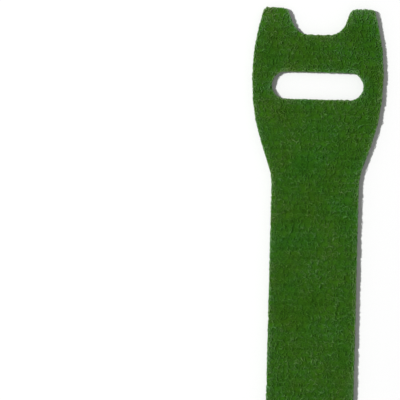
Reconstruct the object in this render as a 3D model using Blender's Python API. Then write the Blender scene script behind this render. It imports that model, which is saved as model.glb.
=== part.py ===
"""Hook and loop cable tie: one flat strap, die-cut in one piece from back-to-back tape.

It lies as it comes to rest on a table, with the loop pile up and the hooks down.
The slotted head is at +Y, the tapered tail at -Y. X is across the strap.
The origin is under the middle of the tie, at the height of the hook tips.
"""

from math import atan2, ceil, cos, pi, radians, sin, tan

import bmesh
import bpy
import numpy as np
from mathutils import Vector
from mathutils.geometry import tessellate_polygon

MM = 0.001

# Strap
TIE_LENGTH = 203.2 * MM  # over the ears and the tail
STRAP_WIDTH = 12.7 * MM

# Section, from the hook tips up
HOOK_HEIGHT = 0.5 * MM
FILM_THICKNESS = 0.3 * MM
PILE_HEIGHT = 0.8 * MM
PILE_EDGE = 0.35 * MM  # how far in from a cut edge the pile is rounded over

# Slot in the head, which the tail is threaded through
SLOT_SIDE_CLEARANCE = 0.45 * MM  # on each side of the tail
SLOT_OPENING_CLEARANCE = 2.55 * MM  # over the thickness of the tail
SLOT_CHEEK = 2.76 * MM  # material left at each end of the slot
SLOT_BRIDGE = 5.35 * MM  # material between the notch and the slot

# Tail tip. The notch in the head has the same outline, because the tail of one tie
# is cut out of the head of the next along the tape.
TIP_WIDTH = 6.7 * MM
TIP_FLANK_ANGLE = radians(20.0)
TIP_RADIUS = 2.8 * MM
TAIL_SHOULDER_RADIUS = 12.0 * MM
NOTCH_DEPTH = 3.9 * MM

# Head
EAR_TAPER = 1.5 * MM  # how far the ear tops stand in from the widest part of the head
EAR_INNER_RADIUS = 1.0 * MM
EAR_OUTER_RADIUS = 0.6 * MM
CHEEK_DROP = 6.0 * MM  # from the ear tops to the widest part of the head
CHEEK_RADIUS = 25.0 * MM
SHOULDER_DROP = 1.95 * MM  # from the slot's lower edge to the corner of the shoulder
SHOULDER_ANGLE = radians(19.0)
SHOULDER_RADIUS = 30.0 * MM
NECK_RADIUS = 8.0 * MM

# Hook rows, which run along the strap on a low spine each
ROW_PITCH = 1.45 * MM
ROW_WIDTH = 0.45 * MM
SPINE_HEIGHT = 0.12 * MM
SPINE_ROOT = 0.1 * MM  # how deep a row is sunk into the film
HOOK_PITCH = 2.6 * MM
HOOK_ROOT_LENGTH = 0.7 * MM
HOOK_OVERHANG = 0.3 * MM  # of the tip past the root
HOOK_EDGE_MARGIN = 0.3 * MM  # from a row to the nearest cut edge

# Finish of the dyed nylon, as linear colour
PILE_COLOUR = (0.028, 0.095, 0.0085, 1.0)
PILE_ROUGHNESS = 0.95

ARC_STEP = radians(7.5)  # the largest turn from one outline point to the next
PILE_STEPS = 3  # facets round the pile's edge

# Worked out from the driving dimensions
TIE_THICKNESS = HOOK_HEIGHT + FILM_THICKNESS + PILE_HEIGHT
SLOT_LENGTH = STRAP_WIDTH + 2 * SLOT_SIDE_CLEARANCE
SLOT_OPENING = TIE_THICKNESS + SLOT_OPENING_CLEARANCE
HEAD_WIDTH = SLOT_LENGTH + 2 * SLOT_CHEEK
HEAD_TOP = TIE_LENGTH / 2
TAIL_END = -TIE_LENGTH / 2
SLOT_Y = HEAD_TOP - NOTCH_DEPTH - SLOT_BRIDGE - SLOT_OPENING / 2


def rounded_path(corners):
    """Points round a closed path through corners (x, y, radius), each rounded by an arc.

    An arc takes up half of the shorter side beside its corner at most.
    """
    points = []
    for i, (x, y, radius) in enumerate(corners):
        here = Vector((x, y))
        back = Vector(corners[i - 1][:2]) - here
        ahead = Vector(corners[(i + 1) % len(corners)][:2]) - here
        half_turn = (pi - back.angle(ahead)) / 2
        to_tangent = min(radius * tan(half_turn), back.length / 2, ahead.length / 2)
        radius = to_tangent / tan(half_turn)
        bisector = (back.normalized() + ahead.normalized()).normalized()
        centre = here + bisector * (radius / cos(half_turn))
        start = here + back.normalized() * to_tangent - centre
        first = atan2(start.y, start.x)
        sweep = 2 * half_turn * (1 if back.cross(ahead) < 0 else -1)
        steps = max(2, ceil(abs(sweep) / ARC_STEP))
        for k in range(steps + 1):
            angle = first + sweep * k / steps
            points.append(centre + Vector((cos(angle), sin(angle))) * radius)
    return points


def tie_outline():
    """The die-cut outline, anticlockwise seen from above, symmetric about X = 0."""
    tip = TIP_WIDTH / 2
    mouth = tip + NOTCH_DEPTH * tan(TIP_FLANK_ANGLE)
    head, strap = HEAD_WIDTH / 2, STRAP_WIDTH / 2
    shoulder_y = SLOT_Y - SLOT_OPENING / 2 - SHOULDER_DROP
    neck_y = shoulder_y - (head - strap) / tan(SHOULDER_ANGLE)
    taper_y = TAIL_END + (strap - tip) / tan(TIP_FLANK_ANGLE)
    right = [
        (tip, TAIL_END, TIP_RADIUS),
        (strap, taper_y, TAIL_SHOULDER_RADIUS),
        (strap, neck_y, NECK_RADIUS),
        (head, shoulder_y, SHOULDER_RADIUS),
        (head, HEAD_TOP - CHEEK_DROP, CHEEK_RADIUS),
        (head - EAR_TAPER, HEAD_TOP, EAR_OUTER_RADIUS),
        (mouth, HEAD_TOP, EAR_INNER_RADIUS),
        (tip, HEAD_TOP - NOTCH_DEPTH, TIP_RADIUS),
    ]
    left = [(-x, y, radius) for x, y, radius in reversed(right)]
    return rounded_path(right + left)


def slot_outline():
    """The obround slot, anticlockwise seen from above."""
    radius = SLOT_OPENING / 2
    centre_x = SLOT_LENGTH / 2 - radius
    steps = ceil(pi / ARC_STEP)
    points = []
    for side in (1, -1):
        for k in range(steps + 1):
            angle = -side * pi / 2 + pi * k / steps
            x = side * centre_x + radius * cos(angle)
            points.append(Vector((x, SLOT_Y + radius * sin(angle))))
    return points


def inset(points, distance):
    """A closed anticlockwise outline, moved inwards by a distance (outwards if it is negative)."""
    moved = []
    for i, here in enumerate(points):
        before = (here - points[i - 1]).normalized()
        after = (points[(i + 1) % len(points)] - here).normalized()
        inward = Vector((-before.y - after.y, before.x + after.x)).normalized()
        share = inward.dot(Vector((-before.y, before.x)))
        moved.append(here + inward * (distance / share))
    return moved


def edge_section():
    """(inset, height) pairs up a cut edge: the film's straight cut, then the pile rounded over."""
    film_bottom = HOOK_HEIGHT
    round_start = HOOK_HEIGHT + FILM_THICKNESS + PILE_HEIGHT - PILE_EDGE
    section = [(0.0, film_bottom)]
    for k in range(PILE_STEPS + 1):
        angle = pi / 2 * k / PILE_STEPS
        section.append(
            (PILE_EDGE * (1 - cos(angle)), round_start + PILE_EDGE * sin(angle))
        )
    return section


def add_wall(mesh, rings, outward):
    """Faces between rings of vertices that lie one above the other."""
    for low, high in zip(rings, rings[1:]):
        for i in range(len(low)):
            j = (i + 1) % len(low)
            corners = (low[i], low[j], high[j], high[i])
            mesh.faces.new(corners if outward else corners[::-1])


def add_cap(mesh, outer, hole, facing_up):
    """A flat face with the slot left open in it."""
    loops = [[v.co for v in outer], [v.co for v in hole]]
    ring = outer + hole
    for corners in tessellate_polygon(loops):
        face = mesh.faces.new([ring[i] for i in corners])
        face.normal_update()
        if (face.normal.z > 0) != facing_up:
            face.normal_flip()


def web_mesh():
    """The film and the pile on it, without the hooks."""
    mesh = bmesh.new()
    outer_rings, slot_rings = [], []
    for distance, height in edge_section():
        outer = inset(tie_outline(), distance)
        slot = inset(slot_outline(), -distance)
        outer_rings.append([mesh.verts.new((p.x, p.y, height)) for p in outer])
        slot_rings.append([mesh.verts.new((p.x, p.y, height)) for p in slot])
    add_wall(mesh, outer_rings, outward=True)
    add_wall(mesh, slot_rings, outward=False)
    add_cap(mesh, outer_rings[0], slot_rings[0], facing_up=False)
    add_cap(mesh, outer_rings[-1], slot_rings[-1], facing_up=True)
    return mesh


def room_around(points, outline):
    """How far each point lies inside a closed outline, negative where it is outside."""
    start = np.array([tuple(p) for p in outline])
    along = np.roll(start, -1, axis=0) - start
    away = points[:, None, :] - start[None, :, :]
    share = np.clip((away * along).sum(2) / (along * along).sum(1), 0, 1)
    nearest = np.linalg.norm(away - share[..., None] * along, axis=2).min(axis=1)
    end_y = start[:, 1] + along[:, 1]
    crosses = (start[:, 1] > points[:, None, 1]) != (end_y > points[:, None, 1])
    rise = np.where(along[:, 1] == 0, 1.0, along[:, 1])
    cross_x = start[:, 0] + (points[:, None, 1] - start[:, 1]) / rise * along[:, 0]
    inside = (crosses & (points[:, None, 0] < cross_x)).sum(1) % 2 == 1
    return np.where(inside, nearest, -nearest)


def hook_runs(x, stagger, direction):
    """The runs of hooks in one row, each a list of the Y where a hook's root starts."""
    half_count = ceil(TIE_LENGTH / 2 / HOOK_PITCH)
    starts = [k * HOOK_PITCH + stagger for k in range(-half_count, half_count + 1)]
    reach = HOOK_ROOT_LENGTH + HOOK_OVERHANG
    footprint = np.array(
        [
            (x + side * ROW_WIDTH / 2, y + end)
            for y in starts
            for side in (-1, 0, 1)
            for end in (0.0, direction * reach)
        ]
    )
    in_tie = room_around(footprint, tie_outline())
    off_slot = -room_around(footprint, slot_outline())
    room = np.minimum(in_tie, off_slot).reshape(len(starts), -1).min(axis=1)
    runs, run = [], []
    for y, space in zip(starts, room):
        if space >= HOOK_EDGE_MARGIN:
            run.append(y)
        elif run:
            runs.append(run)
            run = []
    return runs + [run] if run else runs


def row_profile(run, direction):
    """The side view of one run of hooks as (y, z) points: raked thorns on a low spine."""
    spine_z = HOOK_HEIGHT - SPINE_HEIGHT
    teeth = []
    for y in run if direction > 0 else reversed(run):
        root_end = y + direction * HOOK_ROOT_LENGTH
        tip = root_end + direction * HOOK_OVERHANG
        teeth += [(y, spine_z), (tip, 0.0), (root_end, spine_z)]
    root_z = HOOK_HEIGHT + SPINE_ROOT
    return [(teeth[0][0], root_z)] + teeth + [(teeth[-1][0], root_z)]


def add_row(mesh, x, profile):
    """One run of hooks, as wide as its row."""
    sides = []
    for edge_x in (x - ROW_WIDTH / 2, x + ROW_WIDTH / 2):
        sides.append([mesh.verts.new((edge_x, y, z)) for y, z in profile])
    left, right = sides
    mesh.faces.new(left)
    mesh.faces.new(right[::-1])
    for i in range(len(profile)):
        j = (i + 1) % len(profile)
        mesh.faces.new((left[i], right[i], right[j], left[j]))


def hook_mesh():
    """Every row of hooks. Odd rows are raked towards the tail and lie half a pitch along."""
    mesh = bmesh.new()
    rows_each_side = int(HEAD_WIDTH / 2 / ROW_PITCH)
    for number in range(-rows_each_side, rows_each_side + 1):
        x = number * ROW_PITCH
        odd = number % 2
        direction = 1 - 2 * odd
        for run in hook_runs(x, odd * HOOK_PITCH / 2, direction):
            add_row(mesh, x, row_profile(run, direction))
    bmesh.ops.recalc_face_normals(mesh, faces=mesh.faces)
    return mesh


def add_object(name, mesh):
    """An object of that name, at the origin, from a bmesh."""
    data = bpy.data.meshes.new(name)
    mesh.to_mesh(data)
    mesh.free()
    made = bpy.data.objects.new(name, data)
    bpy.context.scene.collection.objects.link(made)
    return made


def nylon_material():
    """Green dyed nylon, matt all over."""
    material = bpy.data.materials.new("green_nylon")
    material.use_nodes = True
    shader = material.node_tree.nodes["Principled BSDF"]
    shader.inputs["Base Color"].default_value = PILE_COLOUR
    shader.inputs["Roughness"].default_value = PILE_ROUGHNESS
    shader.inputs["Metallic"].default_value = 0.0
    return material


def build_tie():
    """The whole tie as one solid: the web, with the hook rows moulded onto its underside."""
    tie = add_object("cable_tie", web_mesh())
    rows = add_object("hook_rows", hook_mesh())
    rows.hide_render = True
    rows.display_type = "WIRE"
    join = tie.modifiers.new("moulded_hooks", "BOOLEAN")
    join.operation = "UNION"
    join.solver = "EXACT"
    join.object = rows
    tie.data.materials.append(nylon_material())


def main():
    for old in list(bpy.data.objects):
        bpy.data.objects.remove(old, do_unlink=True)
    build_tie()


main()
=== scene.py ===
"""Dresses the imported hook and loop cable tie: knitted backing, loop pile, hook film and hooks.

The tie lies flat, loop side up, with its head towards +Y and its hook tips on the floor at
Z = 0. Every length is in metres unless its name or its comment says millimetres.
"""

from math import ceil, cos, floor, pi, radians, sin

import bmesh
import bpy
import numpy as np
from bpy.props import FloatProperty, FloatVectorProperty, IntProperty, PointerProperty
from mathutils import Matrix, Vector
from mathutils.geometry import delaunay_2d_cdt
from mathutils.kdtree import KDTree
from mathutils.noise import noise


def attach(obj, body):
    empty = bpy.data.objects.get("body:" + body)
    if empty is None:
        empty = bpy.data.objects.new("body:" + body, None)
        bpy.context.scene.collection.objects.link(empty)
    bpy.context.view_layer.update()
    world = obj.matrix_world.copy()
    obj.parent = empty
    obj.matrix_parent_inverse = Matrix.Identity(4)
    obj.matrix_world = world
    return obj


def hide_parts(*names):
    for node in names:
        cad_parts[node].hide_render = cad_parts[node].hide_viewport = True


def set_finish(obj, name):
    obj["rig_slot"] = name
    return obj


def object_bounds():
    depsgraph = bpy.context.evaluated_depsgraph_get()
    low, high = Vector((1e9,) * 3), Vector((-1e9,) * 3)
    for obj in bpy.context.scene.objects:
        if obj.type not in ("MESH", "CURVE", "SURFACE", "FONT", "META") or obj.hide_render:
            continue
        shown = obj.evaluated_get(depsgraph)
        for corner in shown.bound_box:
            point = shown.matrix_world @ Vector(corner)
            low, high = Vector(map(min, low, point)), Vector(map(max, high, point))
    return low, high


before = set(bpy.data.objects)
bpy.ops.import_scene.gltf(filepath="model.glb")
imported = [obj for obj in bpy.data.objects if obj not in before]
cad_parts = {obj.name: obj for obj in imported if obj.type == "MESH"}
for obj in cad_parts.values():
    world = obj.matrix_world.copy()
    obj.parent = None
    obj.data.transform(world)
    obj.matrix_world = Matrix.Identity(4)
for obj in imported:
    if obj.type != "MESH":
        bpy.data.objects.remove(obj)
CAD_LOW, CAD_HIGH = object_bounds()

bl_info = {
    "name": "Hook and Loop Cable Tie Dressing",
    "version": (1, 0, 0),
    "blender": (4, 5, 0),
    "location": "3D Viewport > Sidebar > Cable Tie",
    "description": "Knitted backing, loop pile, hooks and studio for a die-cut cable tie",
    "category": "Add Mesh",
}

MM = 0.001
BODY = "root"
SOLID = "cable_tie"
FINISH_SLOT = "green_nylon"

# Levels of the tape, from the hook tips up, as in the solid
FILM_BOTTOM = 0.5 * MM
FILM_TOP = 0.8 * MM
TAPE_TOP = CAD_HIGH.z

# How the solid's mesh is read
SAME_POINT = 0.002 * MM  # corners closer than this are one
SAME_LEVEL = 0.01 * MM  # heights closer than this are one
LEVEL_FACE = 0.9  # the least Z of a level face's normal, up or down
UPRIGHT_FACE = 0.1  # the most Z of an upright face's normal, up or down

# How flat regions are filled
RIM_SPACING = 0.1 * MM  # of the points that a distance to a cut edge is taken to
GRID_CLEARANCE = 0.45  # from a grid's points to the cut edges, against the grid's spacing
FILL_TOLERANCE = 1e-9

# Hook rows, as in the solid. The solid has every other hook of each row.
ROW_PITCH = 1.45 * MM
SOLID_HOOK_PITCH = 2.6 * MM
HOOKS_PER_SOLID_HOOK = 2
ROW_STEP = 0.05 * MM  # along a row, in the search for its clear stretches
RIB_SINK = 0.1 * MM  # how far a rib reaches into the film

# A hook's side view. Its crook is an arc about its middle, with angles that turn from +Y to +Z.
CROOK_MIDDLE = 0.6 * FILM_BOTTOM  # above the hook tips
CROOK_BACK = radians(195.0)
CROOK_INSIDE = radians(215.0)
CROOK_CROWN = radians(270.0)
CROOK_TIP = radians(345.0)
CROOK_STEPS = 6
HOOK_SINK = 0.04 * MM  # how far a hook's root reaches into the film

# Knitted ground
EDGE_FACETS = 3
LUMP_SIZE = 0.7 * MM
LUMP_SHARE, COURSE_SHARE = 0.7, 0.3  # of the relief
GROUND_HOLLOW_SHADE, GROUND_TOP_LIGHT = 0.7, 1.6  # against the ground's own colour: painted shade in the hollows, and lighter yarn at random that is more on the tops as painted light
GROUND_LIGHT_RISE = 0.6  # from the plain top to where it is lightest, against the relief: painted shade below, painted light above
GROUND_GRAIN, GROUND_GRAIN_DEPTH = 0.2 * MM, 0.12 * MM

# Loops
ARCH_POINTS = 6
ARCH_START, ARCH_SWEEP = radians(-30.0), radians(240.0)
ARCH_LIFT = 0.4  # against the loop's radius
WIDTHS, HEIGHTS = (0.75, 1.35), (0.7, 1.25)  # least and most, against the plain loop
BEND_SIZE = 0.5 * MM  # of the noise that bends the yarn
YARN_SIDES = 3
PILE_LIGHT_RISE = 1.6  # from the ground's top to where it is lightest, against the loop's radius: painted shade low in the pile, painted sheen on top
PILE_GRAIN, PILE_GRAIN_DEPTH = 0.45 * MM, 0.04 * MM

# Where loops grow
UPWARD = 0.1  # the least Z of the normal of a face that they stand on
EDGE_SLOPE = (0.9, 0.4)  # Z of the ground's normals, from the plain pile to the cut edge's
PROBE_HEIGHT, PROBE_LENGTH = 5 * MM, 20 * MM  # of the ray that looks for ground under a point
SPIN_STREAM, LEAN_STREAM, WIDTH_STREAM, HEIGHT_STREAM = 11, 12, 13, 14  # of random numbers
SEED_STEP = 20  # between the stretches
PAST_ENDS = 1 * MM  # how far the outer stretches reach past the tie
TAPER_ALLOWANCE = 1 * MM  # what the first stretch gains for the tail's taper

# Yarn colours
PATCH_SIZE = 4 * MM
# Light yarn is lighter yarn at random, and also a painted sheen on the fibres, more of it higher
# up.
GRAIN_RANGE = (0.34, 0.68)  # of the grain's noise, from no light yarn to the most
PATCH_RANGE = (0.3, 0.7)  # of the patches' noise, from little light yarn to much
PATCH_LIGHT = (0.05, 1.75)  # multiples of the light yarn at those two
LIGHT_SHARE = 0.75  # the most light yarn in a plain patch
END_FADE, END_PAINTED_LIGHT = 3 * MM, 0.25  # painted light: light yarn that is added towards the tie's two ends
TINT_RANGE = (0.32, 0.68)  # of the patches' second noise, from warm to cool
WARM, COOL = (1.15, 0.97, 0.9, 1.0), (0.84, 1.03, 1.1, 1.0)

# Moulded nylon
HAZE_SIZE = 1.8 * MM
HAZE_DARK = 0.8  # against the nylon's own colour
HAZE_ROUGHNESS = (0.36, 0.55)

# Lights
WHITE = (1.0, 1.0, 1.0, 1.0)
LAMP_WAY = Vector((-0.55, 0.12, 1.0))  # from the tie towards the lamp
LAMP_DISTANCE = 1.2
LAMP_SIZE = 0.12

# Where the photograph puts the tie, in pixels of its 400 by 400 frame
PHOTO_SIZE = 400
EAR_TOP_PIXEL = Vector((319.3, 8.2))
PIXEL = 0.1468 * MM
CAMERA_ROLL = radians(1.47)
LENS = 300.0  # millimetres, on Blender's own 36 mm sensor
CLIP_START = 0.05


# Settings


def colour_property(name, description, default):
    """A colour in linear values, as Blender's shaders take it."""
    return FloatVectorProperty(
        name=name,
        description=description,
        subtype="COLOR",
        size=3,
        min=0.0,
        max=1.0,
        default=default,
    )


def length_property(name, description, millimetres):
    """A length, kept in metres."""
    return FloatProperty(
        name=name,
        description=description,
        default=millimetres * MM,
        min=0.0,
        unit="LENGTH",
        precision=5,
    )


def angle_property(name, description, degrees):
    """An angle, kept in radians."""
    return FloatProperty(
        name=name, description=description, default=radians(degrees), subtype="ANGLE"
    )


def amount_property(name, description, default):
    """A plain number from 0 up."""
    return FloatProperty(name=name, description=description, default=default, min=0.0)


def share_property(name, description, default):
    """A share from 0 to 1."""
    return FloatProperty(
        name=name, description=description, default=default, min=0.0, max=1.0, subtype="FACTOR"
    )


class BackingSettings(bpy.types.PropertyGroup):
    """The knitted fabric that the loops stand on."""

    top: length_property("Top", "Height of the knitted ground above the floor", 1.2)
    edge_round: length_property("Edge Round", "Rounding along the cut edge", 0.12)
    grid: length_property("Grid", "Spacing of the ground's points", 0.3)
    relief: length_property("Relief", "Height of the knitted courses", 0.07)
    course_pitch: length_property("Course Pitch", "Spacing of the knitted courses", 0.67)
    # The ground yarn is painted darker than the loops' yarn: painted shade under the loops.
    colour: colour_property("Colour", "Ground yarn", (0.029, 0.106, 0.0048))
    # Painted light: the yarn is painted paler along the cut edges, for the light that the edge's
    # fuzz catches.
    edge_painted_light: share_property("Edge Tint", "Share of pale yarn along the cut edges", 0.62)
    edge_fade: length_property("Edge Fade", "How far in the pale yarn falls to a third", 0.48)


class PileSettings(bpy.types.PropertyGroup):
    """The napped loops."""

    density: amount_property("Density", "Loops on each square millimetre", 8.2)
    loop_radius: length_property("Loop Radius", "Half the width of a loop", 0.28)
    yarn_radius: length_property("Yarn Radius", "Half the thickness of a loop's yarn", 0.052)
    wobble: length_property("Wobble", "How far a loop strays from a plain arch", 0.22)
    lean_least: angle_property("Least Lean", "The most upright that a loop stands", 40.0)
    lean_most: angle_property("Most Lean", "The flattest that a loop lies", 84.0)
    course_pull: share_property(
        "Course Pull", "How strongly the loops' roots gather on the knitted courses", 0.45
    )
    edge_boost: amount_property(
        "Edge Boost", "How many more loops stand along the cut edge, as a multiple", 4.5
    )
    edge_size: amount_property(
        "Edge Size", "Size of the loops along the cut edge, against the others", 0.6
    )
    edge_trim: share_property(
        "Edge Trim", "How far the loops that hang over the cut edge are drawn back to it", 0.7
    )
    stretches: IntProperty(
        name="Stretches",
        description="How many pieces the pile is made in, along the tie",
        default=5,
        min=1,
    )
    seed: IntProperty(name="Seed", description="Seed of the loops' places", default=7)
    # Painted shade: the dark yarn, in the deep of the pile
    colour_deep_shade: colour_property("Deep Shade", "Yarn in the deep", (0.04, 0.152, 0.0078))
    colour_mid: colour_property("Middle", "Most of the yarn", (0.061, 0.22, 0.0132))
    # Light yarn and painted sheen, most on the top of the pile
    colour_light_and_sheen: colour_property("Light", "Yarn on top", (0.225, 0.385, 0.15))


class HookSettings(bpy.types.PropertyGroup):
    """The moulded hook film and its hooks."""

    width: length_property("Hook Width", "Size of a hook across the strap", 0.3)
    reach: length_property("Hook Reach", "From the back of a hook's root to its tip", 1.0)
    root: length_property("Hook Root", "Size of a hook's root along the strap", 0.5)
    tip: length_property("Hook Tip", "Thickness of a hook at its tip", 0.07)
    crown: length_property("Hook Crown", "Thickness of a hook at its crown", 0.17)
    rib_width: length_property("Rib Width", "Width of the rib under each row", 0.45)
    rib_height: length_property("Rib Height", "Height of the rib under each row", 0.12)
    edge_margin: length_property("Edge Margin", "From a row to the nearest cut edge", 0.15)
    colour: colour_property("Colour", "Moulded nylon", (0.03, 0.1, 0.011))


class StageSettings(bpy.types.PropertyGroup):
    """The floor and the lights."""

    floor_size: length_property("Floor Size", "Side of the square floor", 3000.0)
    floor_colour: colour_property("Floor Colour", "Plain pale floor", (0.96, 0.96, 0.96))
    floor_lift: amount_property(
        "Floor Lift", "What the camera sees of the floor besides its own colour", 0.02
    )
    key_strength: amount_property(
        "Key Strength",
        "Light that the key lamp sends onto the floor, as radiance of a white one",
        0.8,
    )
    sky_strength: amount_property("Sky Strength", "Even light from all round", 0.25)


class CableTieSettings(bpy.types.PropertyGroup):
    """Everything that the panel shows."""

    backing: PointerProperty(type=BackingSettings)
    pile: PointerProperty(type=PileSettings)
    hooks: PointerProperty(type=HookSettings)
    stage: PointerProperty(type=StageSettings)


# Outline of the solid


def merged_solid():
    """The solid's mesh with its loose triangles joined up, as a bmesh."""
    mesh = bmesh.new()
    mesh.from_mesh(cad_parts[SOLID].data)
    bmesh.ops.remove_doubles(mesh, verts=mesh.verts, dist=SAME_POINT)
    return mesh


def is_cut_edge(edge):
    """Whether an edge runs round the film's underside, at the foot of the die-cut wall."""
    if any(abs(v.co.z - FILM_BOTTOM) > SAME_LEVEL for v in edge.verts):
        return False
    undersides = [f for f in edge.link_faces if f.normal.z < -LEVEL_FACE]
    walls = [f for f in edge.link_faces if abs(f.normal.z) < UPRIGHT_FACE]
    return bool(undersides and walls and walls[0].calc_center_median().z > FILM_BOTTOM)


def die_cut_loops():
    """The solid's cut edges as closed lists of 2D points, the outline first and then the slot.

    Both run anticlockwise as seen from above.
    """
    mesh = merged_solid()
    mesh.normal_update()
    neighbours = {}
    for edge in mesh.edges:
        if is_cut_edge(edge):
            a, b = edge.verts
            neighbours.setdefault(a.index, []).append(b.index)
            neighbours.setdefault(b.index, []).append(a.index)
    mesh.verts.ensure_lookup_table()
    loops = []
    while neighbours:
        start = min(neighbours)
        loop, here = [], start
        while here in neighbours:
            loop.append(mesh.verts[here].co.xy.copy())
            onward = [n for n in neighbours.pop(here) if n in neighbours]
            here = onward[0] if onward else None
        if signed_area(loop) < 0:
            loop.reverse()
        loops.append(loop)
    mesh.free()
    if len(loops) != 2:
        raise RuntimeError(f"the solid has {len(loops)} cut edges, and a tie has two")
    return sorted(loops, key=signed_area, reverse=True)


def signed_area(loop):
    """Area inside a closed list of 2D points, positive where it runs anticlockwise."""
    return sum(a.cross(b) for a, b in zip(loop, loop[1:] + loop[:1])) / 2


def inset(loop, distance):
    """A closed anticlockwise outline moved inwards, or outwards where the distance is negative."""
    moved_loop = []
    for i, here in enumerate(loop):
        before = (here - loop[i - 1]).normalized()
        after = (loop[(i + 1) % len(loop)] - here).normalized()
        inward = Vector((-before.y - after.y, before.x + after.x)).normalized()
        share = inward.dot(Vector((-before.y, before.x)))
        moved_loop.append(here + inward * (distance / share))
    return moved_loop


def resampled(loop, spacing):
    """The same outline with points no further apart than about the spacing."""
    points = []
    for here, ahead in zip(loop, loop[1:] + loop[:1]):
        steps = max(1, round((ahead - here).length / spacing))
        points += [here.lerp(ahead, k / steps) for k in range(steps)]
    return points


# Mesh helpers


def flat_region(outer, hole, spacing):
    """(points, triangles) of the area between two outlines, with a grid of points inside.

    The first points are those of the outer outline and then of the hole, in order. With a
    spacing of 0 there is no grid.
    """
    rim = outer + hole
    edges = loop_edges(0, len(outer)) + loop_edges(len(outer), len(hole))
    given = rim + (grid_points(outer, hole, spacing) if spacing else [])
    points, _, faces, *_ = delaunay_2d_cdt(given, edges, [], 0, FILL_TOLERANCE)
    if len(points) != len(given):
        raise RuntimeError("two points of a flat region lie in one place")
    corners = np.array([tuple(p) for p in points])
    centres = corners[np.array(faces)].mean(axis=1)
    kept = contains(outer, centres) & ~contains(hole, centres)
    return points, [face for face, keep in zip(faces, kept) if keep]


def grid_points(outer, hole, spacing):
    """A staggered grid of points between two outlines, clear of both."""
    low_x, high_x = min(p.x for p in outer), max(p.x for p in outer)
    low_y, high_y = min(p.y for p in outer), max(p.y for p in outer)
    points = []
    for row in range(ceil((high_y - low_y) / spacing)):
        for column in range(ceil((high_x - low_x) / spacing)):
            x = low_x + (column + 0.5 * (row % 2)) * spacing
            points.append((x, low_y + row * spacing))
    places = np.array(points)
    places = places[contains(outer, places) & ~contains(hole, places)]
    tree = flat_tree(outer + hole)
    clearance = GRID_CLEARANCE * spacing
    return [Vector(p) for p in places if tree.find((*p, 0.0))[2] > clearance]


def flat_tree(points):
    """A search tree of 2D points, at height 0."""
    tree = KDTree(len(points))
    for i, p in enumerate(points):
        tree.insert((p.x, p.y, 0.0), i)
    tree.balance()
    return tree


def loop_edges(first, count):
    """Index pairs round a closed loop of points."""
    return [(first + i, first + (i + 1) % count) for i in range(count)]


def contains(loop, places):
    """Which of an array of places lie inside a closed outline."""
    inside = np.zeros(len(places), bool)
    x, y = places[:, 0], places[:, 1]
    for a, b in zip(loop, loop[1:] + loop[:1]):
        if a.y == b.y:
            continue
        spans = (a.y > y) != (b.y > y)
        inside ^= spans & (x < a.x + (y - a.y) / (b.y - a.y) * (b.x - a.x))
    return inside


def new_object(name, data):
    """An object in the scene's own collection."""
    made = bpy.data.objects.new(name, data)
    bpy.context.scene.collection.objects.link(made)
    return made


def finished_mesh(name, mesh):
    """A bmesh as a plain mesh, with its faces pointing out."""
    bmesh.ops.recalc_face_normals(mesh, faces=mesh.faces)
    made = bpy.data.meshes.new(name)
    mesh.to_mesh(made)
    mesh.free()
    return made


def evaluated_mesh(name, carrier):
    """The plain mesh that an object's modifiers make. The object is removed."""
    bpy.context.view_layer.update()
    evaluated = carrier.evaluated_get(bpy.context.evaluated_depsgraph_get())
    mesh = bpy.data.meshes.new_from_object(evaluated)
    mesh.name = name
    bpy.data.objects.remove(carrier)
    return mesh


def add_piece(name, mesh, material):
    """A finished piece at the origin that rides on the tie and takes its finish from the record."""
    piece = new_object(name, mesh)
    mesh.materials.clear()
    mesh.materials.append(material)
    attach(piece, BODY)
    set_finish(piece, FINISH_SLOT)
    return piece


def plate_mesh(name, section, grid, height_at=None):
    """A closed plate between the cut edges.

    section holds (inset, height) pairs up the cut edge. height_at gives the height of a point on
    the top, from its place and the plain height there.
    """
    outline, slot = die_cut_loops()
    if grid:
        outline, slot = resampled(outline, grid), resampled(slot, grid)
    outer_rings = [inset(outline, step) for step, _ in section]
    slot_rings = [inset(slot, -step) for step, _ in section]
    mesh = bmesh.new()
    rows = []
    for outer, hole, (_, height) in zip(outer_rings, slot_rings, section):
        rows.append([mesh.verts.new((p.x, p.y, height)) for p in outer + hole])
    for low, high in zip(rows, rows[1:]):
        for i, j in loop_edges(0, len(outline)):
            mesh.faces.new((low[i], low[j], high[j], high[i]))
        for i, j in loop_edges(len(outline), len(slot)):
            mesh.faces.new((low[j], low[i], high[i], high[j]))
    _, faces = flat_region(outer_rings[0], slot_rings[0], 0)
    for face in faces:
        mesh.faces.new([rows[0][i] for i in reversed(face)])
    top_height = section[-1][1]
    points, faces = flat_region(outer_rings[-1], slot_rings[-1], grid)
    rim = rows[-1]
    inner = [mesh.verts.new((p.x, p.y, top_height)) for p in points[len(rim):]]
    top = rim + inner
    for face in faces:
        mesh.faces.new([top[i] for i in face])
    if height_at:
        for vert in inner:
            vert.co.z = height_at(vert.co.x, vert.co.y, top_height)
    made = finished_mesh(name, mesh)
    made.shade_smooth()
    return made


def rounded_section(size):
    """(inset, height) pairs up the backing's cut edge and over its rounding."""
    section = [(0.0, FILM_TOP)]
    for k in range(EDGE_FACETS + 1):
        angle = pi / 2 * k / EDGE_FACETS
        rise = size.edge_round * sin(angle)
        section.append((size.edge_round * (1 - cos(angle)), size.top - size.edge_round + rise))
    return section


def knitted_relief(size):
    """A function that adds the ground's lumps to a plain height, and raises every other course."""

    def height_at(x, y, plain):
        """The ground's height at a place."""
        lump = noise(Vector((x, y, 0.0)) / LUMP_SIZE)
        course = cos(pi * y / size.course_pitch)
        return plain + size.relief * (LUMP_SHARE * lump + COURSE_SHARE * course)

    return height_at


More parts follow.
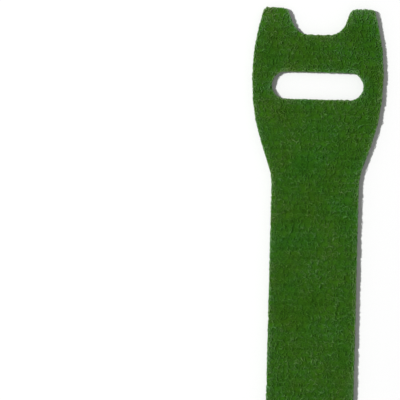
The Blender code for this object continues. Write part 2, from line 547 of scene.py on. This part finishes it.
def mark_painted_edge_light(mesh, tint, fade):
    """Stores each point's share of painted light, pale yarn that falls off inwards from the cut
    edges.
    """
    tree = flat_tree([p for loop in die_cut_loops() for p in resampled(loop, RIM_SPACING)])
    away = [tree.find((v.co.x, v.co.y, 0.0))[2] for v in mesh.vertices]
    shares = tint * np.exp(-np.array(away) / fade)
    mesh.attributes.new("pale", "FLOAT", "POINT").data.foreach_set("value", shares)


# Hook rows


def solid_rows():
    """The Y of each hook's tip in each of the solid's rows, by the row's number across."""
    mesh = merged_solid()
    rows = {}
    for edge in mesh.edges:
        a, b = (v.co for v in edge.verts)
        if max(a.z, b.z) < CAD_LOW.z + SAME_LEVEL:
            number = round((a.x + b.x) / 2 / ROW_PITCH)
            rows.setdefault(number, []).append((a.y + b.y) / 2)
    mesh.free()
    return rows


def clear_stretches(x, width, margin):
    """(low, high) along Y of each stretch where a strip keeps clear of the film's cut edges."""
    outline, slot = die_cut_loops()
    y = np.arange(CAD_LOW.y, CAD_HIGH.y, ROW_STEP)
    clear = np.ones(len(y), bool)
    for strip_x in (x - width / 2, x, x + width / 2):
        places = np.column_stack([np.full(len(y), strip_x), y])
        clear &= contains(inset(outline, margin), places)
        clear &= ~contains(inset(slot, -margin), places)
    turns = np.flatnonzero(np.diff(clear.astype(int), prepend=0, append=0))
    return [(y[a], y[b - 1]) for a, b in zip(turns[::2], turns[1::2])]


def hook_rows(size):
    """(x, direction, stretches, tips) of each row, with the hooks that the solid leaves out.

    Direction is 1 or -1 along Y. A hook of the solid stands at every other tip.
    """
    step = SOLID_HOOK_PITCH / HOOKS_PER_SOLID_HOOK
    rows = []
    for number, solid_tips in sorted(solid_rows().items()):
        x, direction = number * ROW_PITCH, -1 if number % 2 else 1
        stretches = clear_stretches(x, size.rib_width, size.edge_margin)
        first = min(solid_tips)
        tips = []
        for low, high in stretches:
            back_room, tip_room = (size.reach, 0.0) if direction > 0 else (0.0, size.reach)
            least = ceil((low + back_room - first) / step)
            most = floor((high - tip_room - first) / step)
            tips += [first + k * step for k in range(least, most + 1)]
        rows.append((x, direction, stretches, tips))
    return rows


def hook_profile(size):
    """Side view of one moulded hook as (y, z) points, its root's back at y = 0, crown at z = 0."""
    outer = CROOK_MIDDLE
    crook_y = size.reach - outer * cos(CROOK_TIP)
    sunk = FILM_BOTTOM + HOOK_SINK
    points = [(0.0, sunk)]
    for k in range(CROOK_STEPS + 1):
        angle = CROOK_BACK + (CROOK_TIP - CROOK_BACK) * k / CROOK_STEPS
        points.append((crook_y + outer * cos(angle), CROOK_MIDDLE + outer * sin(angle)))
    for k in range(CROOK_STEPS):
        angle = CROOK_TIP + (CROOK_INSIDE - CROOK_TIP) * k / (CROOK_STEPS - 1)
        share = (CROOK_TIP - angle) / (CROOK_TIP - CROOK_CROWN)
        inner = outer - (size.tip + (size.crown - size.tip) * share)
        points.append((crook_y + inner * cos(angle), CROOK_MIDDLE + inner * sin(angle)))
    points.append((size.root, sunk))
    return points


def extruded(name, profile, low_x, high_x):
    """A closed mesh of a (y, z) profile drawn out along X."""
    mesh = bmesh.new()
    left = [mesh.verts.new((low_x, y, z)) for y, z in profile]
    right = [mesh.verts.new((high_x, y, z)) for y, z in profile]
    mesh.faces.new(left)
    mesh.faces.new(right[::-1])
    for i, j in loop_edges(0, len(profile)):
        mesh.faces.new((left[i], right[i], right[j], left[j]))
    return finished_mesh(name, mesh)


# Nodes


def add_sockets(tree, way, sockets):
    """Gives a node group named inputs or outputs of the kinds given."""
    for label, kind in sockets:
        tree.interface.new_socket(label, in_out=way, socket_type=f"NodeSocket{kind}")


def set_inputs(tree, node, inputs):
    """Sets or links a node's inputs, by name or number."""
    for key, value in inputs.items():
        if isinstance(value, bpy.types.NodeSocket):
            tree.links.new(value, node.inputs[key])
        else:
            node.inputs[key].default_value = value


def add_node(tree, kind, inputs=None, **settings):
    """A node with its settings made and its inputs set or linked."""
    node = tree.nodes.new(kind)
    for key, value in settings.items():
        setattr(node, key, value)
    set_inputs(tree, node, inputs or {})
    return node


def math_node(tree, operation, a, b=0.0):
    """A Math node's output."""
    return add_node(tree, "ShaderNodeMath", {0: a, 1: b}, operation=operation).outputs[0]


def product(tree, first, *others):
    """The product of several numbers, multiplied in order."""
    made = first
    for other in others:
        made = math_node(tree, "MULTIPLY", made, other)
    return made


def vector_math(tree, operation, a, b):
    """A Vector Math node's output. SCALE takes a number as its second value."""
    inputs = {0: a, "Scale" if operation == "SCALE" else 1: b}
    return add_node(tree, "ShaderNodeVectorMath", inputs, operation=operation).outputs[0]


def combined(tree, x=0.0, y=0.0, z=0.0):
    """A vector from its three parts."""
    return add_node(tree, "ShaderNodeCombineXYZ", {0: x, 1: y, 2: z}).outputs[0]


def part_of(tree, vector, axis):
    """One part of a vector, by its axis's letter."""
    return add_node(tree, "ShaderNodeSeparateXYZ", {0: vector}).outputs[axis]


def mapped(tree, value, given, made=(0.0, 1.0)):
    """A value carried from one range over to another, and held within it."""
    inputs = {0: value, 1: given[0], 2: given[1], 3: made[0], 4: made[1]}
    return add_node(tree, "ShaderNodeMapRange", inputs).outputs[0]


def noise_texture(tree, place, scale, detail, roughness=0.5):
    """A noise texture's outputs, by name."""
    inputs = {"Vector": place, "Scale": scale, "Detail": detail, "Roughness": roughness}
    return add_node(tree, "ShaderNodeTexNoise", inputs).outputs


# Geometry Nodes


def geometry_tree(name, sockets):
    """A geometry node group with Geometry in and out, and named inputs between them."""
    tree = bpy.data.node_groups.new(name, "GeometryNodeTree")
    add_sockets(tree, "INPUT", [("Geometry", "Geometry"), *sockets])
    add_sockets(tree, "OUTPUT", [("Geometry", "Geometry")])
    return tree


def finish_tree(tree, geometry, material):
    """Ends a tree in real geometry with its material."""
    real = add_node(tree, "GeometryNodeRealizeInstances", {0: geometry}).outputs[0]
    inputs = {"Geometry": real, "Material": material}
    dressed = add_node(tree, "GeometryNodeSetMaterial", inputs).outputs[0]
    add_node(tree, "NodeGroupOutput", {0: dressed})


def position(tree):
    """Each point's own place."""
    return add_node(tree, "GeometryNodeInputPosition").outputs[0]


def moved(tree, geometry, offset, chosen=True):
    """A geometry with its chosen points moved by an offset."""
    inputs = {"Geometry": geometry, "Selection": chosen, "Offset": offset}
    return add_node(tree, "GeometryNodeSetPosition", inputs).outputs[0]


def random_value(tree, low, high, seed, stream):
    """A random number for each point, from its own stream of the seed."""
    inputs = {2: low, 3: high, "Seed": math_node(tree, "ADD", seed, stream)}
    return add_node(tree, "FunctionNodeRandomValue", inputs, data_type="FLOAT").outputs[1]


def euler(tree, x=0.0, y=0.0, z=0.0):
    """A rotation from its three angles."""
    return add_node(tree, "FunctionNodeEulerToRotation", {0: combined(tree, x, y, z)}).outputs[0]


def turned(tree, rotation, further):
    """A rotation with a further turn about its own axes."""
    inputs = {"Rotation": rotation, "Rotate By": further}
    node = add_node(tree, "FunctionNodeRotateRotation", inputs, rotation_space="LOCAL")
    return node.outputs[0]


def steepness(tree, facing):
    """From 0 where a surface faces up to 1 where it faces well sideways."""
    return mapped(tree, part_of(tree, facing, "Z"), EDGE_SLOPE)


# The pile tree's number inputs
PILE_NUMBERS = (
    "From", "To", "Density", "Loop Radius", "Yarn Radius", "Wobble", "Least Lean", "Most Lean",
    "Course Pitch", "Course Pull", "Edge Boost", "Edge Size", "Edge Trim",
)


def loop_pile_tree():
    """Grows yarn loops out of the upward faces of a surface, between two places along Y."""
    sockets = [(label, "Float") for label in PILE_NUMBERS]
    tree = geometry_tree("Loop Pile", [*sockets, ("Seed", "Int"), ("Material", "Material")])
    given = tree.nodes.new("NodeGroupInput").outputs

    along = part_of(tree, position(tree), "Y")
    facing = add_node(tree, "GeometryNodeInputNormal").outputs[0]
    chosen = math_node(tree, "GREATER_THAN", part_of(tree, facing, "Z"), UPWARD)
    for above, below in ((along, given["From"]), (given["To"], along)):
        chosen = product(tree, chosen, math_node(tree, "GREATER_THAN", above, below))
    crowd = product(tree, steepness(tree, facing), given["Edge Boost"])
    density = product(tree, math_node(tree, "ADD", crowd, 1.0), given["Density"])
    seed = given["Seed"]
    scatter = add_node(
        tree,
        "GeometryNodeDistributePointsOnFaces",
        {"Mesh": given["Geometry"], "Selection": chosen, "Density": density, "Seed": seed},
        distribute_method="RANDOM",
    ).outputs
    on_edge = steepness(tree, scatter["Normal"])
    shares = given["Course Pull"], math_node(tree, "SUBTRACT", 1.0, on_edge)
    roots = gathered(tree, scatter["Points"], given["Course Pitch"], *shares)

    spin = random_value(tree, 0.0, 2 * pi, seed, SPIN_STREAM)
    lean = random_value(tree, given["Least Lean"], given["Most Lean"], seed, LEAN_STREAM)
    rotation = turned(tree, scatter["Rotation"], euler(tree, z=spin))
    rotation = turned(tree, rotation, euler(tree, x=lean))
    wide = random_value(tree, *WIDTHS, seed, WIDTH_STREAM)
    tall = random_value(tree, *HEIGHTS, seed, HEIGHT_STREAM)
    shrink = mapped(tree, on_edge, (0.0, 1.0), (1.0, given["Edge Size"]))
    scale = vector_math(tree, "SCALE", combined(tree, wide, wide, tall), shrink)
    arch = standing_arch(tree, given["Loop Radius"])
    loops = add_node(
        tree,
        "GeometryNodeInstanceOnPoints",
        {"Points": roots, "Instance": arch, "Rotation": rotation, "Scale": scale},
    ).outputs[0]

    curves = add_node(tree, "GeometryNodeRealizeInstances", {0: loops}).outputs[0]
    curves = bent(tree, curves, given["Wobble"])
    curves = trimmed_at_edge(tree, curves, given["Geometry"], given["Edge Trim"])
    yarn = thickened(tree, curves, given["Yarn Radius"])
    finish_tree(tree, yarn, given["Material"])
    return tree


def gathered(tree, points, pitch, *shares):
    """Points drawn along Y towards the nearest multiple of a pitch, by the shares' product."""
    course = math_node(tree, "DIVIDE", part_of(tree, position(tree), "Y"), pitch)
    nearest = math_node(tree, "ROUND", course)
    shift = product(tree, math_node(tree, "SUBTRACT", nearest, course), pitch, *shares)
    return moved(tree, points, combined(tree, y=shift))


def standing_arch(tree, radius):
    """One loop: an arc of more than half a circle that stands on its two ends."""
    inputs = {
        "Resolution": ARCH_POINTS,
        "Radius": radius,
        "Start Angle": ARCH_START,
        "Sweep Angle": ARCH_SWEEP,
    }
    arch = add_node(tree, "GeometryNodeCurveArc", inputs, mode="RADIUS").outputs[0]
    lift = combined(tree, z=product(tree, radius, ARCH_LIFT))
    upright = (radians(90.0), 0.0, 0.0)
    inputs = {"Geometry": arch, "Translation": lift, "Rotation": upright}
    return add_node(tree, "GeometryNodeTransform", inputs).outputs[0]


def bent(tree, curves, wobble):
    """Curves whose points stray by a smooth noise."""
    stray = noise_texture(tree, position(tree), 1 / BEND_SIZE, detail=1.0)["Color"]
    centred = vector_math(tree, "SUBTRACT", stray, (0.5, 0.5, 0.5))
    return moved(tree, curves, vector_math(tree, "SCALE", centred, wobble))


def trimmed_at_edge(tree, curves, ground, share):
    """Draws what hangs over the ground's edge back towards it, level, by a share of the way."""
    place = position(tree)
    over_ground = add_node(
        tree,
        "GeometryNodeRaycast",
        {
            "Target Geometry": ground,
            "Source Position": vector_math(tree, "ADD", place, (0.0, 0.0, PROBE_HEIGHT)),
            "Ray Direction": (0.0, 0.0, -1.0),
            "Ray Length": PROBE_LENGTH,
        },
    ).outputs["Is Hit"]
    hanging = add_node(
        tree, "FunctionNodeBooleanMath", {0: over_ground}, operation="NOT"
    ).outputs[0]
    nearest = add_node(
        tree, "GeometryNodeProximity", {0: ground}, target_element="FACES"
    ).outputs["Position"]
    way = vector_math(tree, "SUBTRACT", nearest, place)
    level = vector_math(tree, "MULTIPLY", way, (1.0, 1.0, 0.0))
    return moved(tree, curves, vector_math(tree, "SCALE", level, share), hanging)


def thickened(tree, curves, radius):
    """Yarn of a few sides along curves, with its ends closed."""
    inputs = {"Resolution": YARN_SIDES, "Radius": radius}
    ring = add_node(
        tree, "GeometryNodeCurvePrimitiveCircle", inputs, mode="RADIUS"
    ).outputs[0]
    inputs = {"Curve": curves, "Profile Curve": ring, "Fill Caps": True}
    yarn = add_node(tree, "GeometryNodeCurveToMesh", inputs).outputs[0]
    return add_node(tree, "GeometryNodeSetShadeSmooth", {"Geometry": yarn}).outputs[0]


def hook_field_tree():
    """Puts a hook at each point, turned about Z by the point's own turn attribute."""
    tree = geometry_tree("Hook Field", [("Hook", "Object"), ("Material", "Material")])
    given = tree.nodes.new("NodeGroupInput").outputs
    hook = add_node(
        tree, "GeometryNodeObjectInfo", {"Object": given["Hook"], "As Instance": True}
    ).outputs["Geometry"]
    turn = add_node(
        tree, "GeometryNodeInputNamedAttribute", {"Name": "turn"}, data_type="FLOAT"
    ).outputs["Attribute"]
    inputs = {"Points": given["Geometry"], "Instance": hook, "Rotation": euler(tree, z=turn)}
    hooks = add_node(tree, "GeometryNodeInstanceOnPoints", inputs).outputs[0]
    finish_tree(tree, hooks, given["Material"])
    return tree


def grown(name, source, tree, values):
    """The plain mesh that a tree makes out of a mesh, with its named inputs set."""
    carrier = new_object(f"{name}_source", source)
    modifier = carrier.modifiers.new(tree.name, "NODES")
    modifier.node_group = tree
    sockets = {s.name: s.identifier for s in tree.interface.items_tree if s.in_out == "INPUT"}
    for label, value in values.items():
        modifier[sockets[label]] = value
    return evaluated_mesh(name, carrier)


# Materials


def tint_group():
    """Shader group: yarn colours mottled over the surface, darker lower down as painted shade, with
    painted sheen on top, painted light along the cut edges and towards the ends, and its grain.
    """
    if "Yarn Colour And Painted Light" in bpy.data.node_groups:
        return bpy.data.node_groups["Yarn Colour And Painted Light"]
    tree = bpy.data.node_groups.new("Yarn Colour And Painted Light", "ShaderNodeTree")
    colours = ("Deep Shade", "Middle", "Light")
    numbers = ("Grain Scale", "Patch Scale", "Low", "High", "Edge Light")
    add_sockets(tree, "INPUT", [(label, "Color") for label in colours])
    add_sockets(tree, "INPUT", [(label, "Float") for label in numbers])
    add_sockets(tree, "OUTPUT", [("Colour", "Color"), ("Grain", "Float")])
    given = tree.nodes.new("NodeGroupInput").outputs
    place = add_node(tree, "ShaderNodeTexCoord").outputs["Object"]
    grain = noise_texture(tree, place, given["Grain Scale"], detail=2.0, roughness=0.6)["Fac"]
    patch = noise_texture(tree, place, given["Patch Scale"], detail=4.0, roughness=0.6)

    # Painted shade low in the pile, and more painted sheen higher up
    depth = mapped(tree, part_of(tree, place, "Z"), (given["Low"], given["High"]))
    fine = mapped(tree, grain, GRAIN_RANGE)
    amount = mapped(tree, patch["Fac"], PATCH_RANGE, PATCH_LIGHT)
    # Light yarn, at random and partly a painted sheen, more of it higher up
    plain = product(tree, fine, depth, amount, LIGHT_SHARE)
    # Painted light along the cut edges, as pale yarn
    share = math_node(tree, "MAXIMUM", plain, given["Edge Light"])
    # Painted light towards the tie's two ends
    along = math_node(tree, "ABSOLUTE", part_of(tree, place, "Y"))
    painted_end_light = mapped(tree, along, (CAD_HIGH.y - END_FADE, CAD_HIGH.y), (0.0, END_PAINTED_LIGHT))
    share = math_node(tree, "ADD", share, painted_end_light)

    # Darker low down as painted shade, then light yarn and painted sheen
    body = mixed(tree, depth, given["Deep Shade"], given["Middle"])
    body = mixed(tree, share, body, given["Light"])
    warm = mixed(tree, 1.0, body, WARM, "MULTIPLY")
    cool = mixed(tree, 1.0, body, COOL, "MULTIPLY")
    second = add_node(tree, "ShaderNodeSeparateColor", {0: patch["Color"]}).outputs["Green"]
    colour = mixed(tree, mapped(tree, second, TINT_RANGE), warm, cool)
    add_node(tree, "NodeGroupOutput", {"Colour": colour, "Grain": grain})
    return tree


def mixed(tree, factor, a, b, blend="MIX"):
    """The colour output of a Mix node."""
    inputs = {0: factor, 6: a, 7: b}
    node = add_node(tree, "ShaderNodeMix", inputs, data_type="RGBA", blend_type=blend)
    return node.outputs[2]


def opaque(colour, share=1.0):
    """A colour property's value, or a share of it, with its alpha."""
    return (*(share * c for c in colour), 1.0)


def new_material(name):
    """(material, its node tree, its Principled shader)."""
    material = bpy.data.materials.new(name)
    material.use_nodes = True
    return material, material.node_tree, material.node_tree.nodes["Principled BSDF"]


def yarn_material(name, colours, low, high, grain_size, grain_depth):
    """Matt dyed nylon yarn. Its dark, middle and light colours run from low to high: painted shade
    low down, and light yarn that is partly painted sheen on top.
    """
    dark, middle, light = colours
    material, tree, shader = new_material(name)
    inputs = {
        "Deep Shade": dark,
        "Middle": middle,
        "Light": light,
        "Grain Scale": 1 / grain_size,
        "Patch Scale": 1 / PATCH_SIZE,
        "Low": low,
        "High": high,
        # share of painted light along the cut edges
        "Edge Light": add_node(tree, "ShaderNodeAttribute", attribute_name="pale").outputs["Fac"],
    }
    tint = add_node(tree, "ShaderNodeGroup", inputs, node_tree=tint_group()).outputs
    inputs = {"Height": tint["Grain"], "Strength": 0.5, "Distance": grain_depth}
    normal = add_node(tree, "ShaderNodeBump", inputs).outputs[0]
    set_inputs(tree, shader, {"Base Color": tint["Colour"], "Normal": normal})
    set_inputs(tree, shader, {"Roughness": 0.9, "Specular IOR Level": 0.06})
    return material


def moulded_material(colour):
    """Satin moulded nylon of the hook film."""
    material, tree, shader = new_material("moulded_nylon")
    place = add_node(tree, "ShaderNodeTexCoord").outputs["Object"]
    haze = noise_texture(tree, place, 1 / HAZE_SIZE, detail=3.0)["Fac"]
    tint = mixed(tree, haze, opaque(colour, HAZE_DARK), opaque(colour))
    rough = mapped(tree, haze, (0.0, 1.0), HAZE_ROUGHNESS)
    set_inputs(tree, shader, {"Base Color": tint, "Roughness": rough, "IOR": 1.53})
    return material


# Operators


class CABLETIE_OT_add_backing(bpy.types.Operator):
    """Add the knitted fabric that the loops stand on"""

    bl_idname = "cable_tie.add_backing"
    bl_label = "Add Backing"

    def execute(self, context):
        """Makes the closed fabric plate, which stands for the solid."""
        size = context.scene.cable_tie.backing
        section = rounded_section(size)
        mesh = plate_mesh("loop_backing", section, size.grid, knitted_relief(size))
        # Painted light along the cut edges, as pale yarn
        mark_painted_edge_light(mesh, size.edge_painted_light, size.edge_fade)
        # The ground is painted darker in its hollows and lighter on its tops: painted shade and
        # painted light.
        material = yarn_material(
            "knitted_ground",
            [opaque(size.colour, share) for share in (GROUND_HOLLOW_SHADE, 1.0, GROUND_TOP_LIGHT)],
            size.top - size.relief,
            size.top + GROUND_LIGHT_RISE * size.relief,
            GROUND_GRAIN,
            GROUND_GRAIN_DEPTH,
        )
        piece = add_piece("loop_backing", mesh, material)
        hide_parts(SOLID)
        return {"FINISHED"}


class CABLETIE_OT_add_pile(bpy.types.Operator):
    """Add the napped loops on the backing"""

    bl_idname = "cable_tie.add_pile"
    bl_label = "Add Loop Pile"

    def execute(self, context):
        """Grows the loops on the backing, in several stretches along the tie."""
        size, ground = context.scene.cable_tie.pile, context.scene.cable_tie.backing
        backing = bpy.data.objects.get("loop_backing")
        if backing is None:
            raise RuntimeError("the pile grows on the backing, so the backing is added first")
        # Painted shade low in the pile, painted sheen on its top
        material = yarn_material(
            "pile_yarn",
            [opaque(c) for c in (size.colour_deep_shade, size.colour_mid, size.colour_light_and_sheen)],
            ground.top,
            ground.top + PILE_LIGHT_RISE * size.loop_radius,
            PILE_GRAIN,
            PILE_GRAIN_DEPTH,
        )
        values = {
            "Density": size.density / MM**2,
            "Loop Radius": size.loop_radius,
            "Yarn Radius": size.yarn_radius,
            "Wobble": size.wobble,
            "Least Lean": size.lean_least,
            "Most Lean": size.lean_most,
            "Course Pitch": ground.course_pitch,
            "Course Pull": size.course_pull,
            "Edge Boost": size.edge_boost,
            "Edge Size": size.edge_size,
            "Edge Trim": size.edge_trim,
            "Material": material,
        }
        tree = loop_pile_tree()
        for number, (low, high) in enumerate(pile_stretches(size.stretches)):
            name = f"loop_pile_{number + 1}"
            values |= {"From": low, "To": high, "Seed": size.seed + SEED_STEP * number}
            add_piece(name, grown(name, backing.data.copy(), tree, values), material)
        declare_sheet()
        return {"FINISHED"}


def pile_stretches(count):
    """(low, high) along Y of stretches of pile of about one area. The head's is the shortest."""
    outline, slot = die_cut_loops()
    area = signed_area(outline) - signed_area(slot)
    strap_width = 2 * max(p.x for p in outline if p.y < 0)
    edges = [CAD_LOW.y - PAST_ENDS]
    for k in range(1, count):
        edges.append(CAD_LOW.y + k * area / count / strap_width + TAPER_ALLOWANCE)
    return list(zip(edges, edges[1:] + [CAD_HIGH.y + PAST_ENDS]))


def declare_sheet():
    """Works out the area between the cut edges, which nothing then uses."""
    outline, slot = die_cut_loops()
    signed_area(outline) - signed_area(slot)


class CABLETIE_OT_add_hook_film(bpy.types.Operator):
    """Add the moulded film with its ribs"""

    bl_idname = "cable_tie.add_hook_film"
    bl_label = "Add Hook Film"

    def execute(self, context):
        """Makes the film and joins a low rib onto it under each row of hooks."""
        size = context.scene.cable_tie.hooks
        plate = plate_mesh("hook_film", [(0.0, FILM_BOTTOM), (0.0, FILM_TOP)], 0.0)
        ribs = bmesh.new()
        rib_bottom, rib_top = FILM_BOTTOM - size.rib_height, FILM_BOTTOM + RIB_SINK
        for x, _, stretches, _ in hook_rows(size):
            left, right = x - size.rib_width / 2, x + size.rib_width / 2
            for low, high in stretches:
                add_box(ribs, Vector((left, low, rib_bottom)), Vector((right, high, rib_top)))
        rib_mesh = bpy.data.meshes.new("hook_ribs")
        ribs.to_mesh(rib_mesh)
        ribs.free()
        mesh = joined("hook_film", plate, rib_mesh)
        mesh.shade_flat()
        add_piece("hook_film", mesh, moulded_material(size.colour))
        return {"FINISHED"}


def add_box(mesh, low, high):
    """A closed box in a bmesh."""
    matrix = Matrix.LocRotScale((low + high) / 2, None, high - low)
    bmesh.ops.create_cube(mesh, size=1.0, matrix=matrix)


def joined(name, first, second):
    """One mesh out of two closed ones that overlap."""
    base = new_object(f"{name}_base", first)
    other = new_object(f"{name}_other", second)
    union = base.modifiers.new("union", "BOOLEAN")
    union.operation = "UNION"
    union.solver = "EXACT"
    union.object = other
    mesh = evaluated_mesh(name, base)
    bpy.data.objects.remove(other)
    return mesh


class CABLETIE_OT_add_hooks(bpy.types.Operator):
    """Add the moulded hooks under the film"""

    bl_idname = "cable_tie.add_hooks"
    bl_label = "Add Hooks"

    def execute(self, context):
        """Puts a hook on each place of every row, rows raked opposite ways by turns."""
        size = context.scene.cable_tie.hooks
        film = bpy.data.objects.get("hook_film")
        if film is None:
            raise RuntimeError("the hooks stand on the film, so the film is added first")
        half = size.width / 2
        hook = new_object("one_hook", extruded("one_hook", hook_profile(size), -half, half))
        backs, turns = [], []
        for x, direction, _, tips in hook_rows(size):
            backs += [(x, y - direction * size.reach, 0.0) for y in tips]
            turns += [0.0 if direction > 0 else pi] * len(tips)
        places = bpy.data.meshes.new("hook_places")
        places.from_pydata(backs, [], [])
        places.attributes.new("turn", "FLOAT", "POINT").data.foreach_set("value", turns)
        material = film.data.materials[0]
        values = {"Hook": hook, "Material": material}
        mesh = grown("hooks", places, hook_field_tree(), values)
        bpy.data.objects.remove(hook)
        add_piece("hooks", mesh, material)
        return {"FINISHED"}


class CABLETIE_OT_add_stage(bpy.types.Operator):
    """Add the floor, the lights and the camera"""

    bl_idname = "cable_tie.add_stage"
    bl_label = "Add Stage"

    def execute(self, context):
        """Sets the photograph's view from straight above, on a plain pale floor."""
        stage = context.scene.cable_tie.stage
        add_floor(stage)
        add_sky(stage)
        centre = photo_centre()
        add_key(stage, centre)
        add_camera(centre)
        context.scene.view_settings.view_transform = "Standard"
        return {"FINISHED"}


def add_floor(stage):
    """A plain floor at the hook tips, which the camera sees a little paler than it is."""
    mesh = bpy.data.meshes.new("floor")
    half = stage.floor_size / 2
    corners = [(-half, -half, 0.0), (half, -half, 0.0), (half, half, 0.0), (-half, half, 0.0)]
    mesh.from_pydata(corners, [], [(0, 1, 2, 3)])
    plane = new_object("floor", mesh)
    material, tree, shader = new_material("floor")
    seen = add_node(tree, "ShaderNodeLightPath").outputs["Is Camera Ray"]
    inputs = {
        "Base Color": opaque(stage.floor_colour),
        "Roughness": 1.0,
        "Specular IOR Level": 0.0,
        "Emission Color": WHITE,
        "Emission Strength": product(tree, seen, stage.floor_lift),
    }
    set_inputs(tree, shader, inputs)
    mesh.materials.append(material)


def add_sky(stage):
    """Even light from all round, which the camera sees as white."""
    world = bpy.data.worlds.new("studio")
    bpy.context.scene.world = world
    world.use_nodes = True
    tree = world.node_tree
    seen = add_node(tree, "ShaderNodeLightPath").outputs["Is Camera Ray"]
    added = product(tree, seen, 1.0 - stage.sky_strength)
    strength = math_node(tree, "ADD", added, stage.sky_strength)
    set_inputs(tree, tree.nodes["Background"], {"Color": WHITE, "Strength": strength})


def add_key(stage, centre):
    """A soft lamp high above the tie's left, as strong on the floor as the stage says."""
    towards = LAMP_WAY.normalized()
    lamp = bpy.data.lights.new("key", "AREA")
    lamp.shape = "DISK"
    lamp.size = LAMP_SIZE
    lamp.energy = stage.key_strength * (pi * LAMP_DISTANCE) ** 2 / towards.z
    key = new_object("key", lamp)
    key.location = centre + towards * LAMP_DISTANCE
    key.rotation_euler = towards.to_track_quat("Z", "Y").to_euler()


def photo_centre():
    """The point of the tape's top face at the middle of the photograph."""
    middle = Vector(((PHOTO_SIZE - 1) / 2,) * 2)
    away = (middle - EAR_TOP_PIXEL) * PIXEL
    across = Vector((cos(CAMERA_ROLL), sin(CAMERA_ROLL)))
    down = Vector((-sin(CAMERA_ROLL), cos(CAMERA_ROLL)))
    return Vector((away.dot(across), CAD_HIGH.y - away.dot(down), TAPE_TOP))


def add_camera(centre):
    """A long lens straight above, which takes in the photograph's width at the tape's top."""
    data = bpy.data.cameras.new("camera")
    data.lens = LENS
    data.clip_start = CLIP_START
    camera = new_object("camera", data)
    camera.location = centre + Vector((0.0, 0.0, PHOTO_SIZE * PIXEL * LENS / data.sensor_width))
    camera.rotation_euler = (0.0, 0.0, CAMERA_ROLL)
    bpy.context.scene.camera = camera


class VIEW3D_PT_cable_tie(bpy.types.Panel):
    """The cable tie's pieces and sizes"""

    bl_label = "Cable Tie"
    bl_idname = "VIEW3D_PT_cable_tie"
    bl_space_type = "VIEW_3D"
    bl_region_type = "UI"
    bl_category = "Cable Tie"

    def draw(self, context):
        """Lists each group's sizes above its buttons."""
        settings = context.scene.cable_tie
        for title, group, operators in PANEL_ROWS:
            box = self.layout.box()
            box.label(text=title)
            values = getattr(settings, group)
            for key in values.__annotations__:
                box.prop(values, key)
            for operator in operators:
                box.operator(operator.bl_idname)


PANEL_ROWS = (
    ("Backing", "backing", (CABLETIE_OT_add_backing,)),
    ("Loop Pile", "pile", (CABLETIE_OT_add_pile,)),
    ("Hooks", "hooks", (CABLETIE_OT_add_hook_film, CABLETIE_OT_add_hooks)),
    ("Stage", "stage", (CABLETIE_OT_add_stage,)),
)

CLASSES = (
    BackingSettings,
    PileSettings,
    HookSettings,
    StageSettings,
    CableTieSettings,
    CABLETIE_OT_add_backing,
    CABLETIE_OT_add_pile,
    CABLETIE_OT_add_hook_film,
    CABLETIE_OT_add_hooks,
    CABLETIE_OT_add_stage,
    VIEW3D_PT_cable_tie,
)


def register():
    """Adds the classes and the scene's settings."""
    for made in CLASSES:
        bpy.utils.register_class(made)
    bpy.types.Scene.cable_tie = PointerProperty(type=CableTieSettings)


def unregister():
    """Takes the settings and the classes away again."""
    del bpy.types.Scene.cable_tie
    for made in reversed(CLASSES):
        bpy.utils.unregister_class(made)


def main():
    """Dresses the tie."""
    register()
    bpy.ops.cable_tie.add_hook_film()
    bpy.ops.cable_tie.add_hooks()
    bpy.ops.cable_tie.add_backing()
    bpy.ops.cable_tie.add_pile()
    bpy.ops.cable_tie.add_stage()


if __name__ == "__main__":
    main()
